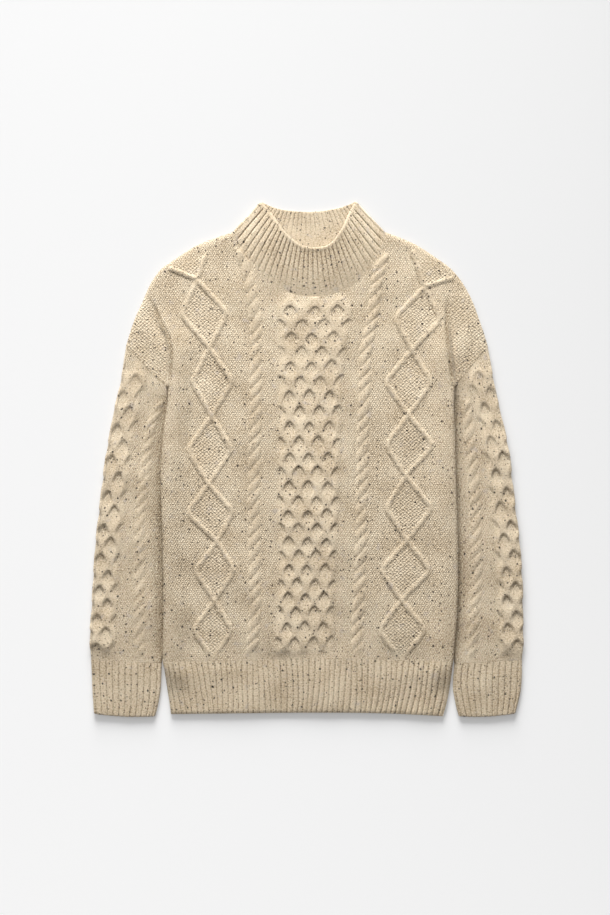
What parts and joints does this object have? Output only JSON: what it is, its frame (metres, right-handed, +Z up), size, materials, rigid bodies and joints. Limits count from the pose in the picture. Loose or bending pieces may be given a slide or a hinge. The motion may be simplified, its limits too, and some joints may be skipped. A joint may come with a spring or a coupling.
{
  "type": "cable knit sweater",
  "caption": "Drop-shoulder cable knit sweater laid flat: lattice, rope and diamond cables on the front, ribbed mock neck, cuffs and hem, lattice sleeves.",
  "frame": {"origin": "centre of the garment's outline, on the surface that it lies on", "axes": "+Z is up from the surface and out of the front, +Y points to the neck, +X to the right sleeve as seen from above"},
  "size_m": [0.6051, 0.72, 0.0133],
  "materials": {
    "cable_knit": "heathered oatmeal tweed wool, cable and moss stitch, matt with dark neps",
    "rib_knit": "heathered oatmeal tweed wool, rib stitch, matt with dark neps"
  },
  "bodies": {
    "root": {"front": "cable_knit", "back": "cable_knit", "hem_front": "rib_knit", "hem_back": "rib_knit", "collar": "rib_knit", "sleeve_left": "cable_knit", "sleeve_right": "cable_knit", "cuff_left": "rib_knit", "cuff_right": "rib_knit"}
  },
  "joints": []
}
